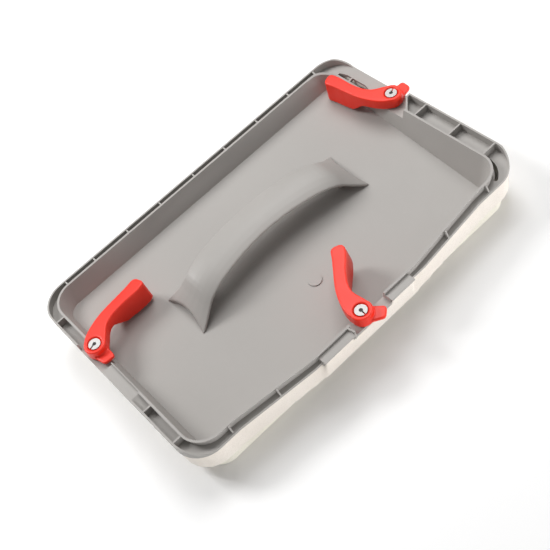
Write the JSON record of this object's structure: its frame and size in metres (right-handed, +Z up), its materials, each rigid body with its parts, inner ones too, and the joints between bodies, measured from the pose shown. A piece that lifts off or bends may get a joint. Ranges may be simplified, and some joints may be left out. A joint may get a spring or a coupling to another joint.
{
  "type": "sponge float",
  "caption": "Sponge float: grey plastic tray with an arched hand grip, red turn levers around its rim and a two-layer sponge pad beneath.",
  "frame": {"origin": "on the working face of the sponge, under the middle of the tray opening", "axes": "+X along the long side towards the lever that stands by the wall, +Y towards the long side without a lever, +Z up from the working face"},
  "size_m": [0.3663, 0.2438, 0.052],
  "materials": {
    "grey_plastic": "satin moulded",
    "grip_plastic": "satin moulded",
    "red_plastic": "semi-gloss moulded",
    "pin_steel": "plain",
    "washer_plastic": "natural nylon",
    "ring_steel": "zinc plated",
    "screw_steel": "zinc plated",
    "upper_sponge": "fine cellular foam",
    "lower_sponge": "open cellular sponge"
  },
  "bodies": {
    "base": {"frame": "grey_plastic", "handle": "grip_plastic", "handle_screws": "screw_steel", "pivot_pin_left": "pin_steel", "pivot_pin_right": "pin_steel", "pivot_pin_front": "pin_steel", "thrust_washer_left": "washer_plastic", "thrust_washer_right": "washer_plastic", "thrust_washer_front": "washer_plastic", "retaining_ring_left": "ring_steel", "retaining_ring_right": "ring_steel", "retaining_ring_front": "ring_steel", "pad_upper": "upper_sponge", "pad_lower": "lower_sponge"},
    "left_lever": {"lever_left": "red_plastic"},
    "right_lever": {"lever_right": "red_plastic"},
    "front_lever": {"lever_front": "red_plastic"}
  },
  "joints": [
    {"name": "left_lever_turn", "type": "hinge", "parent": "base", "child": "left_lever", "pos_m": [-0.1647, 0.0338, 0.0448], "axis": [0, 0, 1], "range_deg": [-90, 0]},
    {"name": "right_lever_turn", "type": "hinge", "parent": "base", "child": "right_lever", "pos_m": [0.1718, 0.0261, 0.0448], "axis": [0, 0, 1], "range_deg": [0, 90]},
    {"name": "front_lever_turn", "type": "hinge", "parent": "base", "child": "front_lever", "pos_m": [-0.0043, -0.1155, 0.0448], "axis": [0, 0, 1], "range_deg": [-45, 45]}
  ]
}
